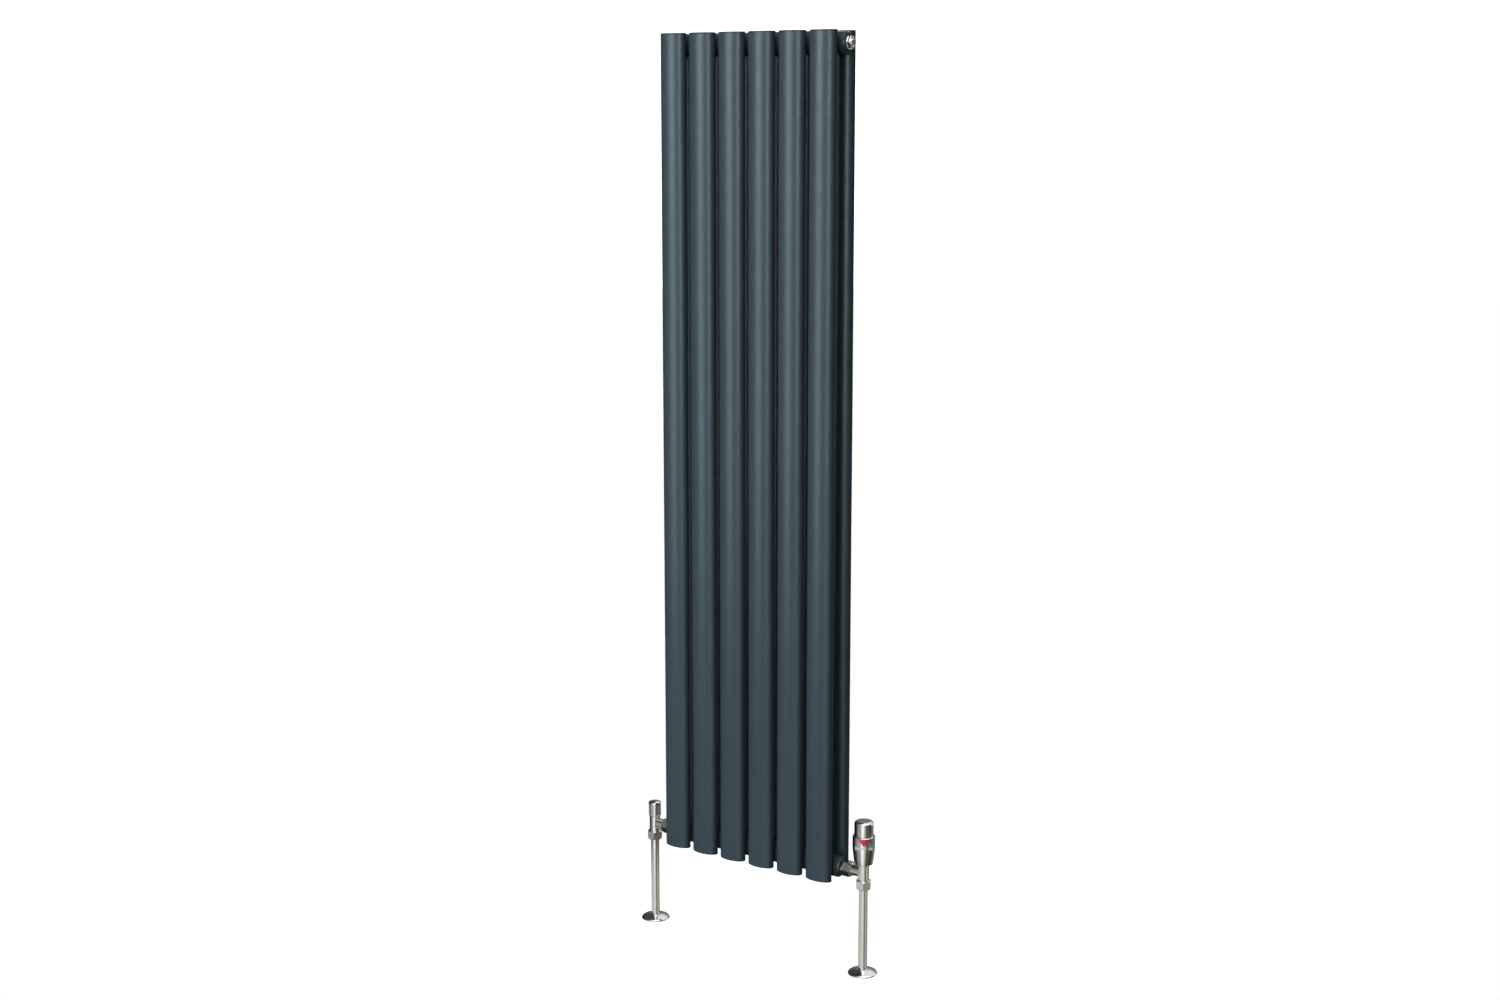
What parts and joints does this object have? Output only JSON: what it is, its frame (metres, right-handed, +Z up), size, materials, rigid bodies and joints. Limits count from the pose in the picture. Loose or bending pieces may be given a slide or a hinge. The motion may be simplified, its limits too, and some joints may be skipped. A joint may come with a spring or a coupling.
{
  "type": "column radiator with valves",
  "caption": "Tall double-row oval-column radiator in anthracite, with a chrome angled thermostatic valve, lockshield valve, pipe tails, floor collars and wall brackets.",
  "frame": {"origin": "on the wall plane, at the centre of the pattern of the four wall brackets, level with the middle of the columns", "axes": "+X to the thermostatic valve's side, +Y into the wall, +Z up along the columns"},
  "size_m": [0.49, 0.108, 1.589],
  "materials": {
    "anthracite_paint": "satin powder coat, anthracite grey",
    "bracket_steel": "satin painted steel",
    "inner_steel": "plain mild steel inside the header",
    "nylon": "natural nylon",
    "rubber": "black EPDM",
    "brass": "machined brass",
    "sensor_brass": "dull brass",
    "stainless_steel": "stainless steel",
    "black_plastic": "black plastic",
    "red_plastic": "red plastic inlay",
    "chrome": "polished chrome plate"
  },
  "bodies": {
    "radiator": {"blanking_plug": "chrome", "bottom_header": "anthracite_paint", "bracket_hook_bolts": "bracket_steel", "bracket_washers": "nylon", "compression_nuts": "chrome", "flow_diverter": "inner_steel", "front_bottom_caps": "anthracite_paint", "front_column_1": "anthracite_paint", "front_column_2": "anthracite_paint", "front_column_3": "anthracite_paint", "front_column_4": "anthracite_paint", "front_column_5": "anthracite_paint", "front_column_6": "anthracite_paint", "front_top_caps": "anthracite_paint", "hanging_lug_bottom_left": "anthracite_paint", "hanging_lug_bottom_right": "anthracite_paint", "hanging_lug_top_left": "anthracite_paint", "hanging_lug_top_right": "anthracite_paint", "header_end_bosses": "anthracite_paint", "left_pipe": "chrome", "lockshield_body": "chrome", "lockshield_insert": "brass", "olives": "brass", "plug_seals": "rubber", "rear_bottom_caps": "anthracite_paint", "rear_column_1": "anthracite_paint", "rear_column_2": "anthracite_paint", "rear_column_3": "anthracite_paint", "rear_column_4": "anthracite_paint", "rear_column_5": "anthracite_paint", "rear_column_6": "anthracite_paint", "rear_top_caps": "anthracite_paint", "right_pipe": "chrome", "top_header": "anthracite_paint", "trv_body": "chrome", "trv_gland": "brass", "trv_index_mark": "red_plastic", "trv_insert": "brass", "trv_return_spring": "stainless_steel", "trv_ring_nut": "chrome", "trv_sleeve": "chrome", "union_nuts": "chrome", "valve_tails": "chrome", "vent_plug": "chrome", "wall_bracket_bottom_left": "bracket_steel", "wall_bracket_bottom_right": "bracket_steel", "wall_bracket_top_left": "bracket_steel", "wall_bracket_top_right": "bracket_steel"},
    "trv_cap_body": {"trv_cap": "chrome"},
    "trv_sensor_body": {"trv_sensor": "sensor_brass", "trv_plunger": "black_plastic"},
    "trv_pin_body": {"trv_pin": "stainless_steel", "trv_disc": "rubber"},
    "lockshield_cap_body": {"lockshield_cap": "chrome"},
    "lockshield_disc_body": {"lockshield_disc": "rubber"},
    "lockshield_spindle_body": {"lockshield_spindle": "brass"},
    "bleed_screw_body": {"bleed_screw": "stainless_steel"},
    "left_floor_collar_body": {"left_floor_collar": "chrome"},
    "right_floor_collar_body": {"right_floor_collar": "chrome"}
  },
  "joints": [
    {"name": "trv_cap_turn", "type": "hinge", "parent": "radiator", "child": "trv_cap_body", "pos_m": [0.22, -0.069, -0.61], "axis": [0, 0, 1], "range_deg": [0, 300.1]},
    {"name": "trv_sensor_slide", "type": "slide", "parent": "radiator", "child": "trv_sensor_body", "axis": [0, 0, 1], "range_m": [0, 0.0025]},
    {"name": "trv_pin_slide", "type": "slide", "parent": "radiator", "child": "trv_pin_body", "axis": [0, 0, 1], "range_m": [0, 0.0025], "deforming": ["trv_return_spring"]},
    {"name": "lockshield_cap_pull", "type": "slide", "parent": "radiator", "child": "lockshield_cap_body", "axis": [0, 0, 1], "range_m": [0, 0.04]},
    {"name": "lockshield_spindle_turn", "type": "hinge", "parent": "lockshield_disc_body", "child": "lockshield_spindle_body", "pos_m": [-0.22, -0.069, -0.665], "axis": [0, 0, 1], "range_deg": [-270.2, 720.2]},
    {"name": "lockshield_disc_lift", "type": "slide", "parent": "radiator", "child": "lockshield_disc_body", "axis": [0, 0, 1], "range_m": [-0.00075, 0.002]},
    {"name": "bleed_screw_turn", "type": "hinge", "parent": "radiator", "child": "bleed_screw_body", "pos_m": [0.18, -0.069, 0.68], "axis": [1, 0, 0], "range_deg": [0, 180]},
    {"name": "left_floor_collar_slide", "type": "slide", "parent": "radiator", "child": "left_floor_collar_body", "axis": [0, 0, 1], "range_m": [0, 0.13]},
    {"name": "right_floor_collar_slide", "type": "slide", "parent": "radiator", "child": "right_floor_collar_body", "axis": [0, 0, 1], "range_m": [0, 0.13]}
  ],
  "couplings": [
    {"joint": "trv_cap_turn", "follows": "trv_sensor_slide", "rad_per_m": 2094.4},
    {"joint": "trv_pin_slide", "follows": "trv_sensor_slide", "ratio": 1},
    {"joint": "lockshield_spindle_turn", "follows": "lockshield_disc_lift", "rad_per_m": 6283.2}
  ]
}
